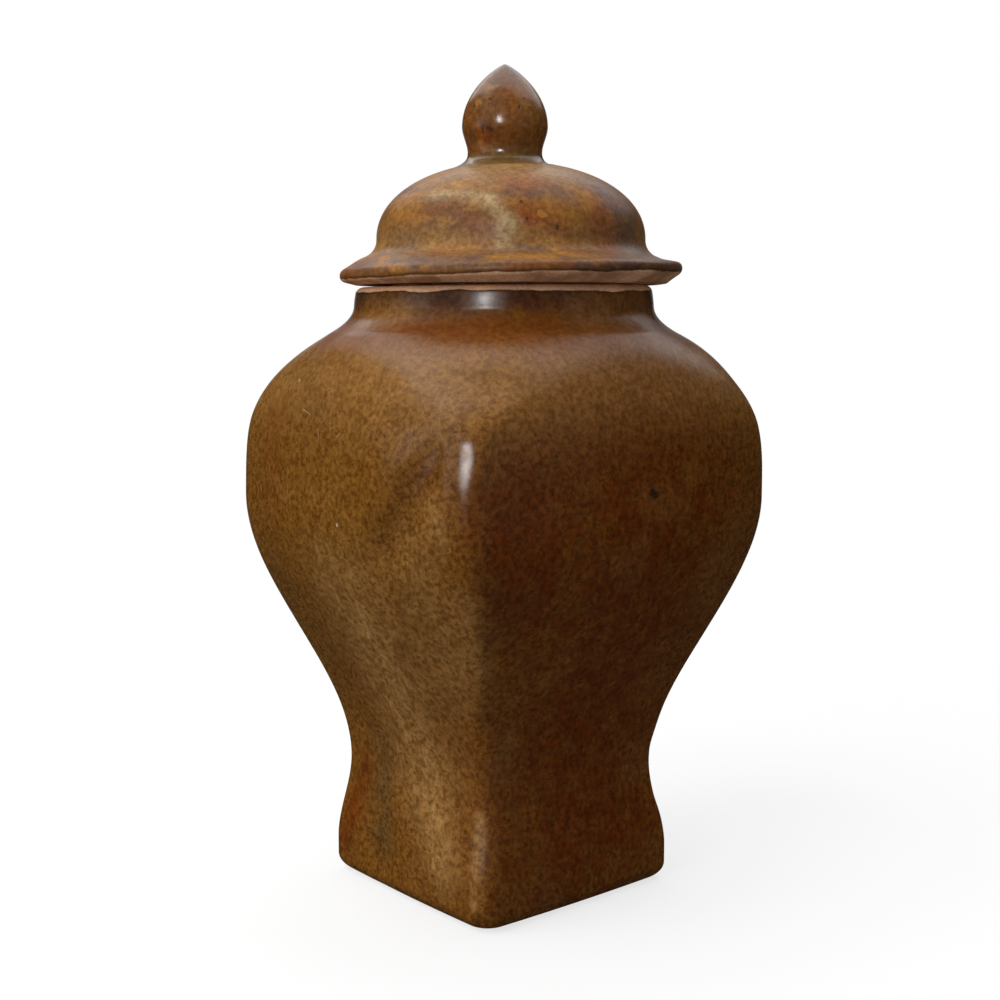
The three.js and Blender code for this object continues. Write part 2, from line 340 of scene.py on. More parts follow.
def neck_profile():
    """The neck's outside from the shoulder to the seat: a side that leans in by a power of its height, with
    a parabola's flare below, and an arc from the lean on to level."""
    turn = np.linspace(LIP_LEAN, math.pi / 2, MOUTH_ROWS)
    round_r = NECK_RADIUS - NECK_TAPER - MOUTH_ROUNDING * (math.cos(LIP_LEAN) - np.cos(turn))
    round_z = MOUTH_Z - MOUTH_ROUNDING * (1 - np.sin(turn))
    rise = np.linspace(0, 1, NECK_ROWS)[:-1]
    side_z = SHOULDER_Z + (round_z[0] - SHOULDER_Z) * rise
    short = np.clip(1 - (side_z - SHOULDER_Z) / NECK_FLARE_HEIGHT, 0, 1)
    flare = (SHOULDER_RADIUS - NECK_RADIUS) * short ** 2
    side_r = NECK_RADIUS - NECK_TAPER * rise ** LIP_POWER + flare
    return np.concatenate([side_r, round_r]), np.concatenate([side_z, round_z])


def near_line(points, first, last, spread):
    """A bell curve of the distance from a line between two points: 1 on it, and 1/e at the spread."""
    along = last - first
    share = np.clip((points - first) @ along / (along @ along), 0, 1)
    distance = np.linalg.norm(points - first - share[..., None] * along, axis=-1)
    return np.exp(-(distance / spread) ** 2)


def jar_place(angle, z):
    """The point of the jar's even outside at an angle in degrees and a height in millimetres."""
    turn = math.radians(angle)
    z = z * MM
    neck_r, neck_z = neck_profile()
    radius = section_radius(turn, z) if z < SHOULDER_Z else np.interp(z, neck_z, neck_r)
    return ring_points(radius, turn, z)


def worn(rings):
    """How far each point stands out past the plane that the ridge is rubbed down to, eased in by a
    hyperbola: half the sum of the distance and its hypotenuse with the ease."""
    facing = np.array(heading(*np.radians(RIDGE_FACING)))
    past = (rings - jar_place(*RIDGE_TOP)) @ facing + RIDGE_WEAR
    return (past + np.hypot(past, RIDGE_EASE)) / 2


def pressed(rings, depth):
    """Each point moved towards the axis by its depth."""
    flat = rings[..., :2]
    inward = flat * (depth / np.linalg.norm(flat, axis=-1))[..., None]
    return np.concatenate([flat - inward, rings[..., 2:]], axis=-1)


def dented(rings):
    """The hand's dents, as bell curves round their lines, and then the flat that the ridge is rubbed to."""
    dents = sum(deep * MM * near_line(rings, jar_place(*start), jar_place(*end), spread * MM)
                for start, end, spread, deep in DENTS)
    rings = pressed(rings, dents)
    return pressed(rings, worn(rings))


def leaned(rings):
    """The neck's lean: points move aside by a smoothstep of their height."""
    share = smooth(rings[..., 2:], LEAN_LOW_Z, SHOULDER_Z)
    return rings + share * np.append(LEAN, 0)


def sagged(rings, angle):
    """The mouth's sag: the top of the neck sinks by a smoothstep of the height times a cosine that is
    largest on one side."""
    share = smooth(rings[..., 2], MOUTH_Z - MOUTH_SAG_HEIGHT, MOUTH_Z)
    rings[..., 2] -= MOUTH_SAG * share * (1 + np.cos(angle - MOUTH_SAG_SIDE)) / 2
    return rings


def jar_skin():
    """The outside of base, wall and neck as one grid of rings: a quarter round at the foot, then the wall's
    section at each height, then the neck's profile. Gives its normals and the rows where wall and neck
    start too."""
    angle = corner_angles()
    turn = np.linspace(0, math.pi / 2, EDGE_ROWS)[:, None]
    edge_z = FOOT_EDGE * (1 - np.cos(turn))
    edge = ring_points(section_radius(angle, edge_z, FOOT_EDGE * (1 - np.sin(turn))), angle, edge_z)
    plinth_z = np.linspace(FOOT_EDGE, BASE_TOP, PLINTH_ROWS)[1:-1, None]
    plinth = ring_points(section_radius(angle, plinth_z), angle, plinth_z)
    wall_z = np.linspace(BASE_TOP, SHOULDER_Z, WALL_ROWS)[:-1, None]
    wall = ring_points(section_radius(angle, wall_z), angle, wall_z)
    neck_r, neck_z = neck_profile()
    neck = sagged(ring_points(neck_r[:, None], angle, neck_z[:, None]), angle)
    rings = leaned(dented(np.concatenate([edge, plinth, wall, neck])))
    wall_row = len(edge) + len(plinth)
    return rings, grid_normals(rings), wall_row, wall_row + len(wall)


def jar_base(rings, normals):
    """The base slab: a recess and a flat rim below, the foot's outside, and a flat top under the wall."""
    angle = corner_angles()
    zero = np.zeros((1, 1))
    rim_inside = FOOT_EDGE + FOOT_RIM
    recess_r = section_radius(angle, zero, rim_inside + BASE_RECESS)
    recess = ring_points(recess_r * RECESS_RING, angle, BASE_RECESS)
    lean_z = np.linspace(BASE_RECESS, 0, RECESS_ROWS)[:, None]
    lean = ring_points(section_radius(angle, zero, rim_inside + lean_z), angle, lean_z)
    rim_depth = np.linspace(rim_inside, FOOT_EDGE, RIM_ROWS)[1:-1, None]
    rim = ring_points(section_radius(angle, zero, rim_depth), angle, 0)
    top = rings[-1:] * np.array([TOP_RING, TOP_RING, 1])
    grid = np.concatenate([recess, lean, rim, rings, top])
    under = len(grid) - len(rings) - 1
    reach = np.concatenate([np.full(under, UNGLAZED), rings[:, 0, 2] - FOOT_BARE, [GLAZED]])
    return closed_mesh("glazed_base", grid, "poles", reach, [(len(grid) - 2, normals[-1])])


def jar_body(rings, normals):
    """The wall: its outside, a flat top under the neck, and the inside, which is the outside's section
    moved in by the wall's thickness square to the slope."""
    angle = corner_angles()
    z = np.linspace(SHOULDER_Z, BASE_TOP, INSIDE_ROWS)[1:-1, None]
    slope = (wall_half(z) - wall_half(z - SLOPE_STEP)) / SLOPE_STEP
    lean = np.hypot(1, slope)
    inside_z = np.clip(z + WALL * slope / lean, BASE_TOP, SHOULDER_Z - NECK_WALL)
    inside_r = np.maximum(section_radius(angle, z, WALL / lean), 0)
    keep = np.concatenate([[True], np.diff(inside_z[:, 0]) < -ROW_DROP])
    inside = ring_points(inside_r, angle, inside_z)[keep]
    bore_z = np.array([[SHOULDER_Z], [SHOULDER_Z - NECK_WALL / 2]])
    bore = ring_points(BORE_RADIUS, angle, bore_z)
    foot = ring_points(section_radius(angle, np.full((1, 1), BASE_TOP), WALL), angle, BASE_TOP)
    grid = np.concatenate([rings, leaned(bore), leaned(inside), foot])
    seams = [(0, normals[0]), (len(rings) - 1, normals[-1])]
    return closed_mesh("glazed_wall", grid, "joined", GLAZED, seams)


def neck_collar(rings, normals):
    """The neck ring: its outside, a flat seat, a quarter round into the bore and the straight bore."""
    angle = corner_angles()
    turn = np.linspace(math.pi / 2, math.pi, LIP_ROWS)[:, None]
    lip_r = BORE_RADIUS + MOUTH_ROUNDING + MOUTH_ROUNDING * np.cos(turn)
    lip_z = MOUTH_Z - MOUTH_ROUNDING * (1 - np.sin(turn))
    lip = ring_points(lip_r, angle, lip_z)
    bore_z = np.linspace(MOUTH_Z - MOUTH_ROUNDING, SHOULDER_Z, BORE_ROWS)[1:, None]
    bore = ring_points(BORE_RADIUS, angle, bore_z)
    grid = np.concatenate([rings, leaned(sagged(lip, angle)), leaned(sagged(bore, angle))])
    bare = np.where(np.arange(len(grid)) < len(rings), MOUTH_BARE, BORE_BARE)
    reach = MOUTH_Z - bare - grid[:, 0, 2]
    return closed_mesh("glazed_neck", grid, "joined", reach, [(0, normals[0])])


# The lid.
def lid_profile():
    """Radius and height over the seat, from the hollow's top to the pad under the finial: an ellipse
    inside, the seat, the flange's underside, its round nose and straight top, a hollow arc, and the dome,
    an ellipse with a power a little over two."""
    nose_angle = math.pi / 2 - FLANGE_SLOPE
    fall = math.tan(FLANGE_SLOPE)
    flare_x = DOME_RADIUS + FLARE_RADIUS
    flare_end_r = flare_x - FLARE_RADIUS * math.cos(nose_angle)
    flare_end_z = DOME_FOOT - FLARE_RADIUS * math.sin(nose_angle)
    nose_x = FLANGE_RADIUS - FLANGE_NOSE
    nose_top = nose_x + FLANGE_NOSE * math.cos(nose_angle)
    nose_reach = FLANGE_NOSE * math.sin(nose_angle)
    nose_z = flare_end_z - fall * (nose_top - flare_end_r) - nose_reach
    seat_edge = nose_top - (nose_z - nose_reach) / fall
    pad_z = PAD_Z - MOUTH_Z
    pad_turn = math.asin(((pad_z - DOME_FOOT) / DOME_RISE) ** (DOME_FULLNESS / 2))
    collar_inside = COLLAR_RADIUS - COLLAR_WALL

    ceiling = np.linspace(math.pi / 2, 0, CEILING_ROWS)[1:]
    nose = np.linspace(-nose_angle, nose_angle, NOSE_ROWS)
    flare = np.linspace(math.pi + nose_angle, math.pi, FLARE_ROWS)
    crown = np.linspace(0, pad_turn, CROWN_ROWS)[1:]
    pieces = [
        ((DOME_RADIUS - DOME_WALL) * np.cos(ceiling),
         DOME_FOOT + (DOME_RISE - DOME_WALL) * np.sin(ceiling)),
        ([collar_inside, collar_inside], [COLLAR_WALL, 0]),
        (np.linspace(collar_inside, seat_edge, SEAT_ROWS)[1:], np.zeros(SEAT_ROWS - 1)),
        (np.linspace(seat_edge, nose_top, BEVEL_ROWS)[1:-1],
         np.linspace(0, nose_z - nose_reach, BEVEL_ROWS)[1:-1]),
        (nose_x + FLANGE_NOSE * np.cos(nose), nose_z + FLANGE_NOSE * np.sin(nose)),
        (np.linspace(nose_top, flare_end_r, SLOPE_ROWS)[1:-1],
         np.linspace(nose_z + nose_reach, flare_end_z, SLOPE_ROWS)[1:-1]),
        (flare_x + FLARE_RADIUS * np.cos(flare), DOME_FOOT + FLARE_RADIUS * np.sin(flare)),
        (DOME_RADIUS * np.cos(crown) ** (2 / DOME_FULLNESS),
         DOME_FOOT + DOME_RISE * np.sin(crown) ** (2 / DOME_FULLNESS)),
    ]
    radius = np.concatenate([r for r, _ in pieces])
    height = np.concatenate([h for _, h in pieces])
    return radius, height


def lid_dome():
    """The domed lid: the lid's profile turned about the lid's own axis, with its flange warped by a cosine
    of the angle times a smoothstep of the radius."""
    angle = turns(LID_SIDES)
    radius, height = lid_profile()
    along = np.append(0, np.cumsum(np.hypot(np.diff(radius), np.diff(height))))
    reach = along - along[np.argmax(radius)] + NOSE_GLAZED
    warp = FLANGE_LIFT + FLANGE_WARP * np.cos(angle - FLANGE_WARP_SIDE)
    share = smooth(radius[:, None], NECK_RADIUS - NECK_TAPER, FLANGE_RADIUS)
    z = MOUTH_Z + height[:, None] + share * warp
    grid = ring_points(radius[:, None], angle, z, LID_CENTRE)
    return closed_mesh("glazed_dome", grid, "poles", reach)


def lid_locating_collar():
    """The ring under the lid: a tall rectangle with quarter rounds at both lower edges, turned about the
    lid's axis."""
    angle = turns(LID_SIDES)
    inside = COLLAR_RADIUS - COLLAR_WALL
    turn = np.linspace(0, math.pi / 2, COLLAR_ROUND_ROWS)
    low = COLLAR_LOW_Z + COLLAR_ROUNDING
    side_z = np.linspace(MOUTH_Z, low, COLLAR_ROWS)[:-1]
    radius = np.concatenate([
        np.full_like(side_z, inside), inside + COLLAR_ROUNDING * (1 - np.cos(turn)),
        COLLAR_RADIUS - COLLAR_ROUNDING * (1 - np.sin(turn)), np.full_like(side_z, COLLAR_RADIUS)])
    z = np.concatenate([
        side_z, low - COLLAR_ROUNDING * np.sin(turn), low - COLLAR_ROUNDING * np.cos(turn), side_z[::-1]])
    grid = ring_points(radius[:, None], angle, z[:, None], LID_CENTRE)
    return closed_mesh("clay_collar", grid, "joined", UNGLAZED)


def finial_profile():
    """Radius and height of the bud: a parabola from the spread root to the stem, a smoothstep out to the
    bud, and up to its point a power of one less the squared share of the way."""
    climb = np.linspace(0, 1, ROOT_ROWS)
    spread = (1 - climb) ** 2
    root_r = spread * FINIAL_SPREAD + (1 - spread) * STEM_RADIUS
    root_z = climb ** 2 * STEM_RISE
    rise = np.linspace(0, 1, SWELL_ROWS)[1:]
    swell_r = STEM_RADIUS + (BUD_RADIUS - STEM_RADIUS) * smooth(rise, 0, 1)
    swell_z = STEM_RISE + BUD_LOWER * rise
    share = np.sin(np.linspace(0, math.pi / 2, BUD_ROWS))[1:-1]
    bud_r = BUD_RADIUS * (1 - share ** 2) ** BUD_POWER
    bud_z = STEM_RISE + BUD_LOWER + (FINIAL_TOP - PAD_Z - STEM_RISE - BUD_LOWER) * share
    radius = np.concatenate([[FINIAL_FOOT / 2, FINIAL_FOOT], root_r, swell_r, bud_r])
    return radius, PAD_Z + np.concatenate([[0, 0], root_z, swell_z, bud_z])


def lid_finial():
    """The bud finial: its profile turned about its own axis. Its root spreads past the pad, where it sinks
    to follow the dome's ellipse."""
    angle = turns(FINIAL_SIDES)
    radius, z = finial_profile()
    grid = ring_points(radius[:, None], angle, z[:, None], FINIAL_CENTRE)
    out = np.linalg.norm(grid[..., :2] - LID_CENTRE, axis=-1)
    dome_rise = DOME_RISE * (1 - (out / DOME_RADIUS) ** DOME_FULLNESS) ** (1 / DOME_FULLNESS)
    dome_z = MOUTH_Z + DOME_FOOT + dome_rise
    grid[..., 2] += np.minimum(dome_z - PAD_Z, 0)
    return closed_mesh("glazed_finial", grid, "poles", GLAZED, [(2, grid_normals(grid[2:])[0])])


# Finishes. A place on the surface is an angle round the axis in degrees and a height in millimetres. A
# bloom is a tint, two places, a spread in millimetres and a strength. A band is a tint, a height, a spread
# and a strength. Most tints laid this way are the glaze's own colours; the few marked below paint shade,
# highlights and sheen. A mark is a kind, two places and a radius in millimetres.
TINTS = ("violet", "rust", "gold", "olive")
JAR_BLOOMS_AND_PAINTED_LIGHT = [
    # Painted shade: this violet line darkens the dent left of the front ridge, where its wall is in shade.
    ("violet", (-54, 131), (-67, 110), 6, 0.4),
    # Violet down the lower front ridge: partly thin glaze on the edge and partly the cool tint of a painted
    # reflection.
    ("violet", (-45, 62), (-45, 20), 1.8, 0.7),
    ("violet", (-24, 6), (-8, 5), 4, 0.5),
    ("violet", (-86, 52), (-92, 40), 7, 0.25),
    ("violet", (-106, 152), (-92, 142), 10, 0.4),
    ("gold", (-47.4, 95), (-46, 74), 4, 0.5),
    # Painted highlight: a pale gold streak down the foot's front ridge.
    ("gold", (-47.2, 31), (-48.2, 8), 1.9, 0.8),
    # The next two: pale gold low on the left face, partly the glaze's gold and partly painted sheen from
    # the floor.
    ("gold", (-72, 34), (-64, 16), 8, 1),
    ("gold", (-84, 92), (-78, 44), 16, 0.85),
    ("gold", (-58, 105), (-54, 68), 9, 0.5),
    # Painted glow: a paler, rougher spot below and left of the ridge's rubbed flat, where its highlight
    # trails off.
    ("gold", (-53, 119), (-52, 112), 4, 0.5),
    ("olive", (-110, 42), (-107, 14), 5.5, 0.7),
    ("rust", (-130, 10), (-120, 36), 5, 0.7),
    ("rust", (-43, 118), (-38, 106), 8, 0.5),
    ("rust", (33, 20), (-4, 18), 7, 0.6),
    ("rust", (-115, 136), (-115, 118), 9, 0.4),
    ("rust", (0, 135), (0, 30), 42, 0.9),
    # The next two: a darker, redder strip on the shaded side just right of the front ridge, red-brown glaze
    # and painted shade.
    ("rust", (-33, 126), (-32, 98), 13, 0.6),
    ("violet", (-36, 124), (-37, 96), 10, 0.65),
    # Paler neck on the left: partly the glaze's gold and partly painted sheen.
    ("gold", (-96, 167), (-78, 167), 6, 0.4),
    ("rust", (18, 170), (-4, 168), 6, 0.9),
    ("gold", (18, 169), (-6, 168), 8, 0.5),
]
JAR_BANDS = [
    ("gold", 148, 13, 0.45),
    ("rust", 162, 4.8, 0.95),
    ("violet", 162, 3.5, 0.3),
    ("violet", 171, 4, 0.95),
]
LID_BLOOMS_AND_PAINTED_SHEEN = [
    # The next four: a pale olive streak and patch on the dome, partly the glaze's streak and partly painted
    # sheen.
    ("olive", (-79, 198.7), (-51, 197), 2, 0.75),
    ("olive", (-51, 197), (-41, 190.5), 2.3, 0.9),
    ("olive", (-41, 190.5), (-43.5, 185), 2.4, 0.85),
    ("olive", (-60, 206), (-20, 206), 8, 0.4),
    ("rust", (-34, 192), (-20, 190), 5, 0.8),
    ("rust", (-2, 197), (0, 185), 5, 0.7),
    ("rust", (-57, 191), (-52, 188), 4, 0.5),
    ("gold", (-24, 195), (-14, 191), 4, 0.6),
    ("gold", (-97, 196), (-90, 194), 5, 0.6),
    ("gold", (-73, 185.5), (-58, 184.5), 3.5, 0.7),
    ("gold", (-46, 181.2), (-28, 181), 2.5, 0.9),
    ("violet", (12, 198), (16, 186), 9, 0.95),
    ("violet", (-22, 199.5), (-19, 198), 4, 0.6),
    ("violet", (-67, 193.5), (-57, 190.5), 4.5, 0.4),
    ("violet", (-37, 184), (-27, 184), 1.6, 0.8),
    ("violet", (-92, 188), (-84, 185), 5, 0.5),
    ("violet", (-45, 182), (-53, 181.5), 3, 0.6),
    ("violet", (0, 180), (25, 181), 5, 0.6),
    ("violet", (2, 197), (6, 186), 6, 0.7),
    ("violet", (-98, 180.5), (-74, 180.5), 3.5, 0.7),
    ("violet", (-20, 179.5), (0, 179.5), 2.5, 0.8),
]
LID_BANDS = [
    ("olive", 187, 4, 0.2),
    ("violet", 180.3, 2.6, 0.6),
]
FINIAL_BLOOMS = [
    ("gold", (-5, 224), (15, 215), 7, 0.7),
    ("violet", (5, 214), (25, 219), 5, 0.6),
    ("rust", (-25, 224), (-20, 218), 4, 0.5),
]
FINIAL_BANDS = [
    ("olive", 209.5, 2.6, 0.8),
    # Painted shade: a darker tip, which holds back the sheen that the tip takes from above.
    ("violet", 234, 6, 0.6),
]
JAR_MARKS = [
    ("stain", (-1, 120.6), (0.4, 119.8), 1),
    ("pit", (-49.5, 24.2), (-49.5, 24), 0.5),
    ("pit", (-127, 10.9), (-127, 10.7), 0.6),
    ("scratch", (-100, 141.2), (-96, 140), 0.16),
    ("scratch", (-91.5, 136.4), (-90.6, 134.6), 0.14),
    ("scratch", (-82, 136), (-83, 134.8), 0.14),
    ("scratch", (-90.8, 157.7), (-87.5, 154.6), 0.15),
    ("chip", (-108, 148.8), (-108, 148.6), 0.3),
    ("chip", (-82.7, 111.9), (-82.7, 111.7), 0.3),
    ("pit", (70, 96), (70, 95.8), 0.5),
    ("pit", (148, 62), (148, 61.8), 0.45),
    ("stain", (112, 133), (113, 131.8), 1),
]
LID_MARKS = [
    ("pit", (-36, 196), (-36, 195.8), 0.45),
    ("pit", (-34, 191.5), (-34, 191.3), 0.45),
    ("pit", (-21.6, 189.3), (-21.6, 189.1), 0.5),
    ("gold", (-28.5, 193), (-27.8, 192.5), 0.9),
    ("pit", (120, 194), (120, 193.8), 0.45),
]
FINIAL_MARKS = [
    ("pit", (-20, 223.4), (-20, 223.2), 0.45),
    ("pit", (-71, 218.5), (-71.5, 216.8), 0.35),
    ("pit", (-88.5, 224.1), (-88.5, 223.9), 0.35),
    ("pit", (-63, 225.8), (-63, 225.6), 0.3),
    ("pit", (-10, 226.1), (-10, 225.9), 0.3),
]


def lid_place(angle, z):
    """The point of the lid's outside at an angle and a height, above the flange's nose."""
    radius, height = lid_profile()
    nose = np.argmax(radius)
    z = z * MM
    out = np.interp(z - MOUTH_Z, height[nose:], radius[nose:])
    return ring_points(out, math.radians(angle), z, LID_CENTRE)


def finial_place(angle, z):
    """The point of the finial's outside at an angle and a height."""
    radius, height = finial_profile()
    z = z * MM
    out = np.interp(z, height[1:], radius[1:])
    return ring_points(out, math.radians(angle), z, FINIAL_CENTRE)


def paint(piece, blooms_and_painted_light, bands, place_on):
    """Lays the tints on a piece as a colour attribute: mostly the glaze's own colours, and in places
    painted shade, highlights and sheen. A bloom is a bell curve of the distance from a line between two
    places, a band is one of the height, and those of one tint build up."""
    mesh = piece.data
    points = np.empty(len(mesh.vertices) * 3)
    mesh.vertices.foreach_get("co", points)
    points = points.reshape(-1, 3)
    plain = np.ones((len(points), len(TINTS)))
    for tint, start, end, spread, strength in blooms_and_painted_light:
        share = near_line(points, place_on(*start), place_on(*end), spread * MM)
        plain[:, TINTS.index(tint)] *= 1 - strength * share
    for tint, z, spread, strength in bands:
        distance = points[:, 2] / MM - z
        plain[:, TINTS.index(tint)] *= 1 - strength * np.exp(-(distance / spread) ** 2)
    mesh.attributes.new("tints", "FLOAT_COLOR", "POINT").data.foreach_set("color", (1 - plain).ravel())


def tone(red, green, blue):
    """A linear colour from its display values of 0 to 255."""
    shown = np.array([red, green, blue]) / 255
    linear = np.where(shown <= 0.04045, shown / 12.92, ((shown + 0.055) / 1.055) ** 2.4)
    return (*linear.tolist(), 1)


def tones(**parts):
    """A palette: the linear colour of each named part of a glaze."""
    return {part: tone(*shown) for part, shown in parts.items()}


# The glaze: widths of its clouds, shifts that set one cloud apart from another, its grain and specks, the
# heights between which the grain gets weaker and by how much, and what the grain multiplies a colour by.
RUST_CLOUD = 34 * MM
GOLD_CLOUD = 22 * MM
VIOLET_CLOUD = 26 * MM
BREAK_CLOUD = 5 * MM
MOTTLE_CLOUD = 6 * MM
CLOUD_ASIDE = (0.31, 0.17, 0.53)
CLOUD_APART = (0.72, 0.41, 0.11)
GRAIN_WIDTH = 1.5 * MM
SPECK_WIDTH = 1.6 * MM
SPECK_RAG = 0.5
GRAIN_FULL_Z = 126 * MM
GRAIN_THIN_Z = 156 * MM
GRAIN_THIN = 0.7
GRAIN_DARK = (0.5, 0.42, 0.22, 1)
GRAIN_PALE = (1.42, 1.5, 2, 1)

# The glaze's border: the widths of its slow and fast wanderings and how far each goes, and the widths of
# its edge and its pool.
SLOW_WIDTH = 12 * MM
SLOW_WANDER = 2.2 * MM
FAST_WIDTH = 2.2 * MM
FAST_WANDER = 0.3 * MM
EDGE_HALF = 0.2 * MM
POOL_WIDTH = 1 * MM
POOL_FULL = 0.1 * MM
POOLED = tone(58, 34, 22)

# The bare clay: widths of its grit and its wash, its tones and shine, how much wash the ring under the lid
# has, and the strength and height of the grit's bump.
GRIT_WIDTH = 0.7 * MM
WASH_WIDTH = 9 * MM
CLAY_DARK = tone(228, 176, 134)
CLAY_PALE = tone(250, 206, 164)
CLAY_WASHED = tone(150, 98, 62)
CLAY_SHINE = 0.2
RING_WASH = 0.3
GRIT_STRENGTH = 0.5
GRIT_HEIGHT = 0.2 * MM

# How strongly each effect shows in the glaze's colour, how much rougher each makes it, and how far each
# raises or sinks it as a share of the bump's height. The peel is the glaze's slow unevenness.
MOTTLE_SHARE = 0.2
SPECK_SHARE = 0.5
HALO_SHARE = 0.25
POOL_SHARE = 0.55
MOTTLE_ROUGH = 0.06
TINT_ROUGH = 0.12
BARE_ROUGH = 0.55
PEEL_WIDTH = 7 * MM
PEEL_RISE = 0.12
GRAIN_RISE = 0.006
MARK_DEPTH = 0.2
BARE_DEPTH = 0.15
BUMP_STRENGTH = 0.6
BUMP_HEIGHT = 1 * MM

# Each kind of mark, with its tone and how strongly it covers the glaze, and the palettes of the glazes.
MARK_TONES = {
    "pit": (tone(60, 34, 18), 0.65),
    "stain": (tone(34, 30, 18), 0.8),
    "scratch": (tone(196, 154, 106), 0.5),
    "chip": (tone(214, 180, 140), 0.9),
    "gold": (tone(196, 132, 52), 0.5),
}
JAR_PALETTE = tones(
    body=(126, 82, 25), shade=(96, 58, 12), speck=(70, 40, 10), rust=(108, 46, 0),
    gold=(162, 117, 58), violet=(64, 38, 24), olive=(98, 74, 36))
LID_PALETTE = tones(
    body=(138, 92, 38), shade=(108, 70, 34), speck=(70, 42, 22), rust=(146, 68, 12),
    gold=(168, 114, 38), violet=(90, 66, 56), olive=(178, 150, 102))
FINIAL_PALETTE = tones(
    body=(122, 76, 30), shade=(88, 52, 22), speck=(54, 30, 14), rust=(138, 64, 10),
    gold=(160, 108, 44), violet=(70, 44, 36), olive=(106, 84, 42))


class Nodes:
    """Adds nodes to one tree. A value that is a socket is linked, and any other value is set."""

    def __init__(self, tree):
        self.tree = tree

    def add(self, kind, values=None, **settings):
        node = self.tree.nodes.new(kind)
        for name, value in settings.items():
            setattr(node, name, value)
        self.fill(node, values or {})
        return node.outputs

    def fill(self, node, values):
        for key, value in values.items():
            if isinstance(value, bpy.types.NodeSocket):
                self.tree.links.new(value, node.inputs[key])
            else:
                node.inputs[key].default_value = value

    def math(self, operation, first, second=0.0, clamp=False):
        return self.add("ShaderNodeMath", {0: first, 1: second}, operation=operation, use_clamp=clamp)[0]

    def plus(self, first, second, clamp=False):
        return self.math("ADD", first, second, clamp)

    def minus(self, first, second):
        return self.math("SUBTRACT", first, second)

    def times(self, first, second, clamp=False):
        return self.math("MULTIPLY", first, second, clamp)

    def vector(self, operation, first, second=(0, 0, 0), result="Vector"):
        return self.add("ShaderNodeVectorMath", {0: first, 1: second}, operation=operation)[result]

    def noise(self, place, width, detail=2.0, roughness=0.5):
        """Cloudy noise from 0 to 1, in blotches about as wide as the width."""
        values = {"Vector": place, "Scale": 1 / width, "Detail": detail, "Roughness": roughness}
        return self.add("ShaderNodeTexNoise", values)[0]

    def span(self, value, start, end, first=0.0, last=1.0):
        """Eases from first to last while the value goes from start to end."""
        values = {"Value": value, "From Min": start, "From Max": end, "To Min": first, "To Max": last}
        return self.add("ShaderNodeMapRange", values, interpolation_type="SMOOTHSTEP")[0]

    def mix(self, share, first, second, blend="MIX"):
        values = {0: share, 6: first, 7: second}
        return self.add("ShaderNodeMix", values, data_type="RGBA", blend_type=blend)[2]

    def group(self, tree, **values):
        return self.add("ShaderNodeGroup", values, node_tree=tree)


def new_group(name, inputs, outputs):
    """An empty node group with named sockets. Gives the group, its node helper and its inputs."""
    tree = bpy.data.node_groups.new(name, "ShaderNodeTree")
    for label, kind in inputs.items():
        tree.interface.new_socket(label, in_out="INPUT", socket_type="NodeSocket" + kind)
    for label, kind in outputs.items():
        tree.interface.new_socket(label, in_out="OUTPUT", socket_type="NodeSocket" + kind)
    nodes = Nodes(tree)
    return tree, nodes, nodes.add("NodeGroupInput")


def kiln_drift():
    """Slow changes that the kiln's air leaves: cloudy masks for three tints, a break-up and a mottle."""
    outputs = dict.fromkeys(("Rust", "Gold", "Violet", "Break", "Mottle"), "Float")
    tree, nodes, given = new_group("kiln_drift", {"Place": "Vector"}, outputs)
    place = given["Place"]
    aside = nodes.vector("ADD", place, CLOUD_ASIDE)
    apart = nodes.vector("ADD", place, CLOUD_APART)
    broken = nodes.noise(aside, BREAK_CLOUD, detail=4)
    nodes.add("NodeGroupOutput", {
        "Rust": nodes.span(nodes.noise(place, RUST_CLOUD, detail=3), start=0.48, end=0.72),
        "Gold": nodes.span(nodes.noise(aside, GOLD_CLOUD, detail=3), start=0.52, end=0.74),
        "Violet": nodes.span(nodes.noise(apart, VIOLET_CLOUD, detail=3), start=0.54, end=0.74),
        "Break": nodes.span(broken, start=0.3, end=0.7, first=0.65, last=1.3),
        "Mottle": nodes.span(nodes.noise(apart, MOTTLE_CLOUD, detail=3), start=0.3, end=0.7),
    })
    return tree


def fine_speckle():
    """Iron specks in the glaze: dark dots with ragged sizes, a few pale ones, and a fine grain."""
    outputs = dict.fromkeys(("Dark", "Pale", "Grain"), "Float")
    tree, nodes, given = new_group("fine_speckle", {"Place": "Vector"}, outputs)
    place = given["Place"]
    cloud = nodes.noise(place, GRAIN_WIDTH, detail=4, roughness=0.75)
    dots = nodes.add("ShaderNodeTexVoronoi", {"Vector": place, "Scale": 1 / SPECK_WIDTH})
    pick = nodes.add("ShaderNodeSeparateColor", {0: dots["Color"]})
    ragged = nodes.plus(dots["Distance"], nodes.times(cloud, SPECK_RAG))
    many = nodes.span(pick[0], start=0.3, end=0.8)
    few = nodes.span(pick[1], start=0.9, end=0.97)
    nodes.add("NodeGroupOutput", {
        "Dark": nodes.times(nodes.span(ragged, start=0.6, end=0.34), many),
        "Pale": nodes.times(nodes.span(ragged, start=0.46, end=0.34), few),
        "Grain": nodes.span(cloud, start=0.33, end=0.67),
    })
    return tree


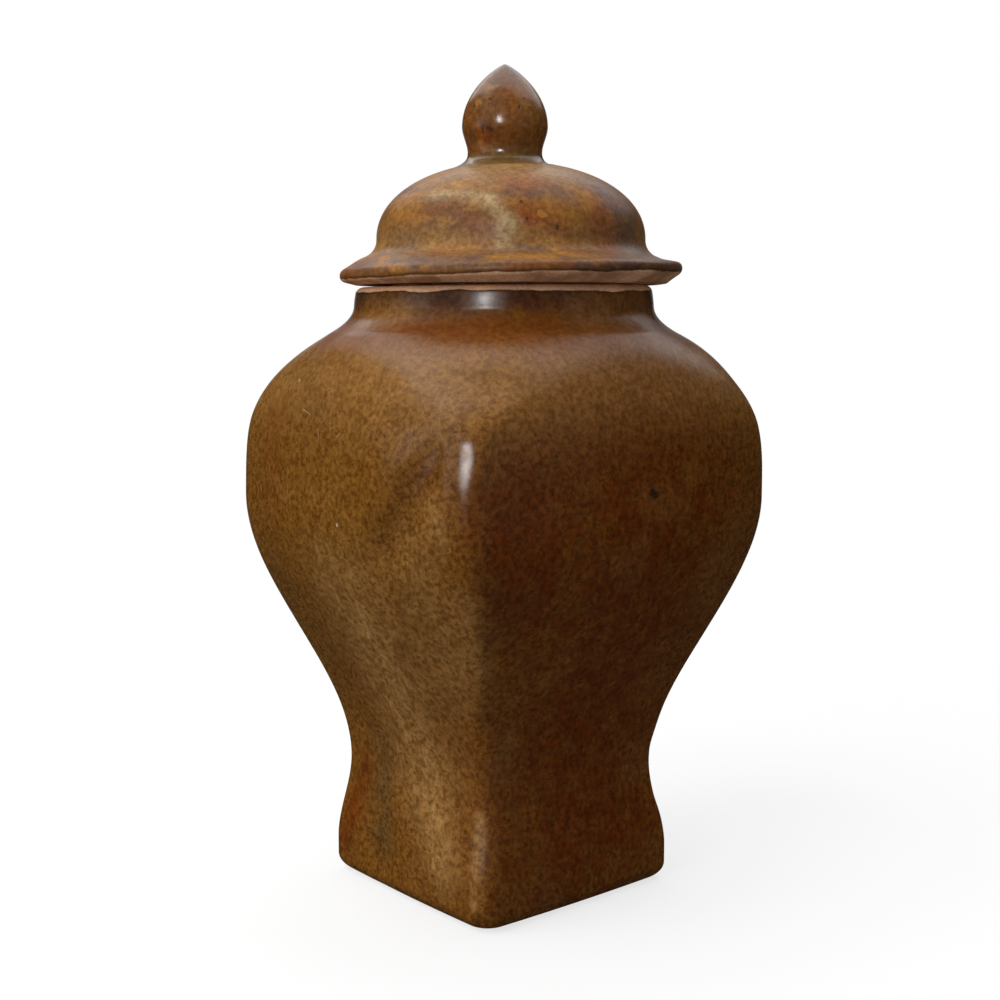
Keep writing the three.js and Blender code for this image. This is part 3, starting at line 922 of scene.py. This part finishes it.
def surface_mark():
    """A spot or a scratch: a mask of the distance from a line between two points, with a ragged rim."""
    inputs = {"Place": "Vector", "Start": "Vector", "End": "Vector", "Radius": "Float", "Rag": "Float"}
    tree, nodes, given = new_group("surface_mark", inputs, {"Core": "Float", "Halo": "Float"})
    offset = nodes.vector("SUBTRACT", given["Place"], given["Start"])
    line = nodes.vector("SUBTRACT", given["End"], given["Start"])
    along = nodes.vector("DOT_PRODUCT", offset, line, "Value")
    share = nodes.math("DIVIDE", along, nodes.vector("DOT_PRODUCT", line, line, "Value"), clamp=True)
    nearest = nodes.add("ShaderNodeVectorMath", {0: line, "Scale": share}, operation="SCALE")["Vector"]
    distance = nodes.vector("DISTANCE", offset, nearest, "Value")
    ratio = nodes.times(nodes.math("DIVIDE", distance, given["Radius"]), given["Rag"])
    nodes.add("NodeGroupOutput", {
        "Core": nodes.span(ratio, start=1.2, end=0.7),
        "Halo": nodes.span(ratio, start=3.2, end=1.0),
    })
    return tree


def glaze_edge():
    """Where the glaze ends: a wandering border with bare clay past it and a dark line where it pooled."""
    inputs = {"Place": "Vector", "Reach": "Float"}
    tree, nodes, given = new_group("glaze_edge", inputs, {"Bare": "Float", "Pool": "Float"})
    slow = nodes.minus(nodes.noise(given["Place"], SLOW_WIDTH, detail=2), 0.5)
    fast = nodes.minus(nodes.noise(given["Place"], FAST_WIDTH, detail=1), 0.5)
    wander = nodes.plus(nodes.times(slow, SLOW_WANDER), nodes.times(fast, FAST_WANDER))
    reach = nodes.plus(given["Reach"], wander)
    bare = nodes.span(reach, EDGE_HALF, -EDGE_HALF)
    pool = nodes.times(nodes.span(reach, POOL_WIDTH, POOL_FULL), nodes.minus(1.0, bare))
    nodes.add("NodeGroupOutput", {"Bare": bare, "Pool": pool})
    return tree


def fired_clay():
    """Unglazed clay: pale terracotta with cloudy brown wash and fine grit."""
    inputs = {"Place": "Vector", "Wash": "Float"}
    tree, nodes, given = new_group("fired_clay", inputs, {"Color": "Color", "Grit": "Float"})
    place = given["Place"]
    grit = nodes.noise(place, GRIT_WIDTH, detail=3)
    clay = nodes.mix(nodes.span(grit, start=0.3, end=0.7), CLAY_DARK, CLAY_PALE)
    cloud = nodes.span(nodes.noise(place, WASH_WIDTH, detail=4), start=0.38, end=0.6)
    washed = nodes.mix(nodes.times(cloud, given["Wash"]), clay, CLAY_WASHED)
    nodes.add("NodeGroupOutput", {"Color": washed, "Grit": grit})
    return tree


KILN_DRIFT = kiln_drift()
FINE_SPECKLE = fine_speckle()
SURFACE_MARK = surface_mark()
GLAZE_EDGE = glaze_edge()
FIRED_CLAY = fired_clay()


def brown_glaze(name, palette, drift, cloud, grain, rough, shine, wash, marks, place_on):
    """The glaze of one part: a mottled body colour, the painted and drifting tints (a few of the painted
    ones stand for shade, highlights and sheen), iron specks, single marks, and bare clay past the glaze's
    border.
    The grain is strong below and weak above, where the glaze ran thin."""
    material = bpy.data.materials.new(name)
    material.use_nodes = True
    nodes = Nodes(material.node_tree)
    place = nodes.add("ShaderNodeTexCoord")["Object"]
    painted = nodes.add("ShaderNodeAttribute", attribute_name="tints")
    parts = nodes.add("ShaderNodeSeparateColor", {0: painted["Color"]})
    shares = dict(zip(TINTS, (*parts, painted["Alpha"])))
    reach = nodes.add("ShaderNodeAttribute", attribute_name="glaze_reach")["Fac"]
    clouds = nodes.vector("DIVIDE", place, cloud)
    kiln = nodes.group(KILN_DRIFT, Place=clouds)
    specks = nodes.group(FINE_SPECKLE, Place=place)
    edge = nodes.group(GLAZE_EDGE, Place=place, Reach=reach)
    clay = nodes.group(FIRED_CLAY, Place=place, Wash=wash)

    up = nodes.add("ShaderNodeSeparateXYZ", {0: place})["Z"]
    depth = nodes.span(up, GRAIN_FULL_Z, GRAIN_THIN_Z, grain, grain * GRAIN_THIN)
    colour = palette["body"]
    for tint in TINTS:
        share = nodes.times(shares[tint], kiln["Break"], clamp=True)
        if tint in drift:
            share = nodes.math("MAXIMUM", share, nodes.times(kiln[tint.title()], drift[tint]))
        shares[tint] = share
        colour = nodes.mix(share, colour, palette[tint])
    colour = nodes.mix(nodes.times(kiln["Mottle"], MOTTLE_SHARE), colour, palette["shade"])
    speck_depth = nodes.times(depth, SPECK_SHARE)
    colour = nodes.mix(nodes.times(specks["Dark"], speck_depth), colour, palette["speck"])
    colour = nodes.mix(nodes.times(specks["Pale"], speck_depth), colour, palette["gold"])
    colour = nodes.mix(depth, colour, nodes.mix(specks["Grain"], GRAIN_DARK, GRAIN_PALE), "MULTIPLY")
    hollow = 0.0
    for kind, start, end, radius in marks:
        mark = nodes.group(
            SURFACE_MARK, Place=place, Start=place_on(*start).tolist(), End=place_on(*end).tolist(),
            Radius=radius * MM, Rag=kiln["Break"])
        mark_tone, strength = MARK_TONES[kind]
        colour = nodes.mix(nodes.times(mark["Halo"], HALO_SHARE * strength), colour, palette["shade"])
        colour = nodes.mix(nodes.times(mark["Core"], strength), colour, mark_tone)
        hollow = nodes.math("MAXIMUM", hollow, mark["Core"])
    colour = nodes.mix(nodes.times(edge["Pool"], POOL_SHARE), colour, POOLED)
    colour = nodes.mix(edge["Bare"], colour, clay["Color"])

    rough = nodes.plus(rough, nodes.times(kiln["Mottle"], MOTTLE_ROUGH))
    rough = nodes.plus(rough, nodes.times(shares["gold"], TINT_ROUGH))
    rough = nodes.plus(rough, nodes.times(shares["rust"], TINT_ROUGH))
    rough = nodes.plus(rough, nodes.times(edge["Bare"], BARE_ROUGH), clamp=True)

    peel = nodes.noise(place, PEEL_WIDTH, detail=1)
    height = nodes.plus(nodes.times(peel, PEEL_RISE), nodes.times(specks["Grain"], GRAIN_RISE))
    height = nodes.minus(height, nodes.times(hollow, MARK_DEPTH))
    height = nodes.minus(height, nodes.times(edge["Bare"], BARE_DEPTH))
    bump = nodes.add("ShaderNodeBump", {
        "Height": height, "Strength": BUMP_STRENGTH, "Distance": BUMP_HEIGHT})

    shader = material.node_tree.nodes["Principled BSDF"]
    shader.inputs["Specular IOR Level"].default_value = shine
    nodes.fill(shader, {"Base Color": colour, "Roughness": rough, "Normal": bump["Normal"]})
    return material


def bare_clay():
    """The unglazed clay of the ring under the lid."""
    material = bpy.data.materials.new("bare_clay")
    material.use_nodes = True
    nodes = Nodes(material.node_tree)
    place = nodes.add("ShaderNodeTexCoord")["Object"]
    clay = nodes.group(FIRED_CLAY, Place=place, Wash=RING_WASH)
    rough = nodes.span(clay["Grit"], start=0.2, end=0.8, first=0.75, last=0.95)
    bump = nodes.add("ShaderNodeBump", {
        "Height": clay["Grit"], "Strength": GRIT_STRENGTH, "Distance": GRIT_HEIGHT})
    shader = material.node_tree.nodes["Principled BSDF"]
    shader.inputs["Specular IOR Level"].default_value = CLAY_SHINE
    nodes.fill(shader, {"Base Color": clay["Color"], "Roughness": rough, "Normal": bump["Normal"]})
    return material


jar_glaze = brown_glaze(
    "jar_glaze", JAR_PALETTE, drift={"rust": 0.3, "gold": 0.2, "violet": 0.2}, cloud=(1, 1, 1),
    grain=0.9, rough=0.18, shine=0.4, wash=0.2, marks=JAR_MARKS, place_on=jar_place)
lid_glaze = brown_glaze(
    "lid_glaze", LID_PALETTE, drift={"rust": 0.5, "gold": 0.8, "violet": 0.8}, cloud=(0.5, 0.5, 0.28),
    grain=0.8, rough=0.34, shine=0.22, wash=0.6, marks=LID_MARKS, place_on=lid_place)
finial_glaze = brown_glaze(
    "finial_glaze", FINIAL_PALETTE, drift={"rust": 0.9, "gold": 0.8, "violet": 0.9},
    cloud=(0.25, 0.25, 0.2), grain=0.8, rough=0.17, shine=0.6, wash=0.2,
    marks=FINIAL_MARKS, place_on=finial_place)
ring_clay = bare_clay()

# The pieces: each with the body it rides on, the node it replaces, its slot and its finish. The jar's
# three parts share one skin, with a row in common where two of them meet.
skin, skin_normals, wall_row, neck_row = jar_skin()
base_rows = slice(0, wall_row + 1)
wall_rows = slice(wall_row, neck_row + 1)
neck_rows = slice(neck_row, None)
PIECES = [
    (jar_base(skin[base_rows], skin_normals[base_rows]), "jar", "jar_base", "brown_glaze", jar_glaze),
    (jar_body(skin[wall_rows], skin_normals[wall_rows]), "jar", "jar_body", "brown_glaze", jar_glaze),
    (neck_collar(skin[neck_rows], skin_normals[neck_rows]), "jar", "neck_collar", "brown_glaze", jar_glaze),
    (lid_dome(), "lid", "lid_dome", "brown_glaze", lid_glaze),
    (lid_locating_collar(), "lid", "lid_locating_collar", "bare_clay", ring_clay),
    (lid_finial(), "lid", "lid_finial", "brown_glaze", finial_glaze),
]
PAINT = {
    "jar_base": (JAR_BLOOMS_AND_PAINTED_LIGHT, [], jar_place),
    "jar_body": (JAR_BLOOMS_AND_PAINTED_LIGHT, JAR_BANDS, jar_place),
    "neck_collar": (JAR_BLOOMS_AND_PAINTED_LIGHT, JAR_BANDS, jar_place),
    "lid_dome": (LID_BLOOMS_AND_PAINTED_SHEEN, LID_BANDS, lid_place),
    "lid_finial": (FINIAL_BLOOMS, FINIAL_BANDS, finial_place),
}
for piece, body, node, slot, finish in PIECES:
    if node in PAINT:
        paint(piece, *PAINT[node])
    piece.data.materials.append(finish)
    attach(piece, body)
    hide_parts(node)

# The stage: the photograph's view, a pale floor that is clear round the jar and then fades, a little light
# from all round, and the white backdrop with the cosines between which mirrored rays come to see it.
CAMERA_AZIMUTH = math.radians(-40)
CAMERA_DISTANCE = 0.445
CAMERA_HEIGHT = 0.167
CAMERA_PITCH = math.radians(6.95)
CAMERA_LENS = 55.24
AIM_Z = 0.11
FLOOR_RADIUS = 0.45
FLOOR_CLEAR = 0.1
FLOOR_TONE = (0.3, 0.3, 0.3, 1)
FLOOR_LIFT = 0.72
AMBIENT = 0.015
BACKDROP_SHEEN = 0.7
BACKDROP_RIM = 0.92
BACKDROP_FULL = 0.995


def soft_box(name, azimuth, elevation, distance, width, height, level, works="light and sheen"):
    """An area light that faces the jar. At a level of 1 a white surface that faces it renders white. It may
    work as light alone, which leaves no sheen, or as sheen alone, which is only seen mirrored."""
    lamp = bpy.data.lights.new(name, "AREA")
    lamp.shape = "RECTANGLE"
    lamp.size = width
    lamp.size_y = height
    lamp.energy = level * math.pi ** 2 * distance ** 2
    light = bpy.data.objects.new(name, lamp)
    direction = heading(math.radians(azimuth), math.radians(elevation))
    light.location = Vector((0, 0, AIM_Z)) + direction * distance
    light.rotation_mode = "QUATERNION"
    light.rotation_quaternion = (-direction).to_track_quat("-Z", "Y")
    light.visible_diffuse = "light" in works
    light.visible_glossy = "sheen" in works
    bpy.context.scene.collection.objects.link(light)


soft_box("key_window", azimuth=-96, elevation=42, distance=1.0,
         width=1.0, height=1.0, level=0.96, works="light")
soft_box("low_window", azimuth=-85, elevation=5, distance=1.2,
         width=1.0, height=0.5, level=0.15, works="light")
soft_box("fill_window", azimuth=0, elevation=12, distance=1.2,
         width=1.0, height=1.0, level=0.18, works="light")
soft_box("front_window", azimuth=-54, elevation=17, distance=1.2,
         width=0.13, height=0.2, level=0.25, works="sheen")
soft_box("side_window", azimuth=-110, elevation=8, distance=1.2,
         width=0.6, height=0.4, level=0.04, works="sheen")
soft_box("ceiling", azimuth=132, elevation=66, distance=1.3,
         width=2.4, height=1.9, level=1.25)

camera = bpy.data.cameras.new("camera")
camera.lens = CAMERA_LENS
viewer = bpy.data.objects.new("camera", camera)
toward = heading(CAMERA_AZIMUTH, 0)
viewer.location = toward * CAMERA_DISTANCE + Vector((0, 0, CAMERA_HEIGHT))
viewer.rotation_mode = "QUATERNION"
viewer.rotation_quaternion = (-heading(CAMERA_AZIMUTH, CAMERA_PITCH)).to_track_quat("-Z", "Y")
bpy.context.scene.collection.objects.link(viewer)
bpy.context.scene.camera = viewer


def white_surround():
    """A white backdrop for the camera. Mirrored rays see it only straight behind the jar, by a smoothstep
    of the cosine from there, and a dark room elsewhere."""
    world = bpy.data.worlds.new("surround")
    world.use_nodes = True
    nodes = Nodes(world.node_tree)
    path = nodes.add("ShaderNodeLightPath")
    direction = nodes.add("ShaderNodeTexCoord")["Generated"]
    away = nodes.vector("DOT_PRODUCT", direction, -toward, "Value")
    behind = nodes.span(away, BACKDROP_RIM, BACKDROP_FULL, first=0.0, last=BACKDROP_SHEEN)
    mirrored = nodes.times(path["Is Glossy Ray"], behind)
    seen = nodes.math("MAXIMUM", path["Is Camera Ray"], path["Is Transmission Ray"])
    level = nodes.math("MAXIMUM", nodes.math("MAXIMUM", seen, mirrored), AMBIENT)
    background = world.node_tree.nodes["Background"]
    background.inputs["Color"].default_value = (1, 1, 1, 1)
    nodes.fill(background, {"Strength": level})
    bpy.context.scene.world = world


def pale_floor():
    """A round pale floor, one face with even corners, that fades out at its rim and shows no horizon."""
    rim = ring_points(FLOOR_RADIUS, turns(FLOOR_SIDES)[0], 0)
    mesh = bpy.data.meshes.new("floor")
    mesh.from_pydata(rim.tolist(), [], [list(range(FLOOR_SIDES))])
    floor = bpy.data.objects.new("floor", mesh)
    floor.visible_glossy = False
    bpy.context.scene.collection.objects.link(floor)
    material = bpy.data.materials.new("floor_white")
    material.use_nodes = True
    nodes = Nodes(material.node_tree)
    place = nodes.add("ShaderNodeTexCoord")["Object"]
    out = nodes.vector("LENGTH", place, result="Value")
    fade = nodes.span(out, FLOOR_CLEAR, FLOOR_RADIUS, first=1.0, last=0.0)
    lift = nodes.times(nodes.add("ShaderNodeLightPath")["Is Camera Ray"], FLOOR_LIFT)
    shader = material.node_tree.nodes["Principled BSDF"]
    nodes.fill(shader, {"Base Color": FLOOR_TONE, "Roughness": 1, "Specular IOR Level": 0, "Alpha": fade,
                        "Emission Color": (1, 1, 1, 1), "Emission Strength": lift})
    mesh.materials.append(material)


white_surround()
pale_floor()
bpy.context.scene.view_settings.view_transform = "Standard"
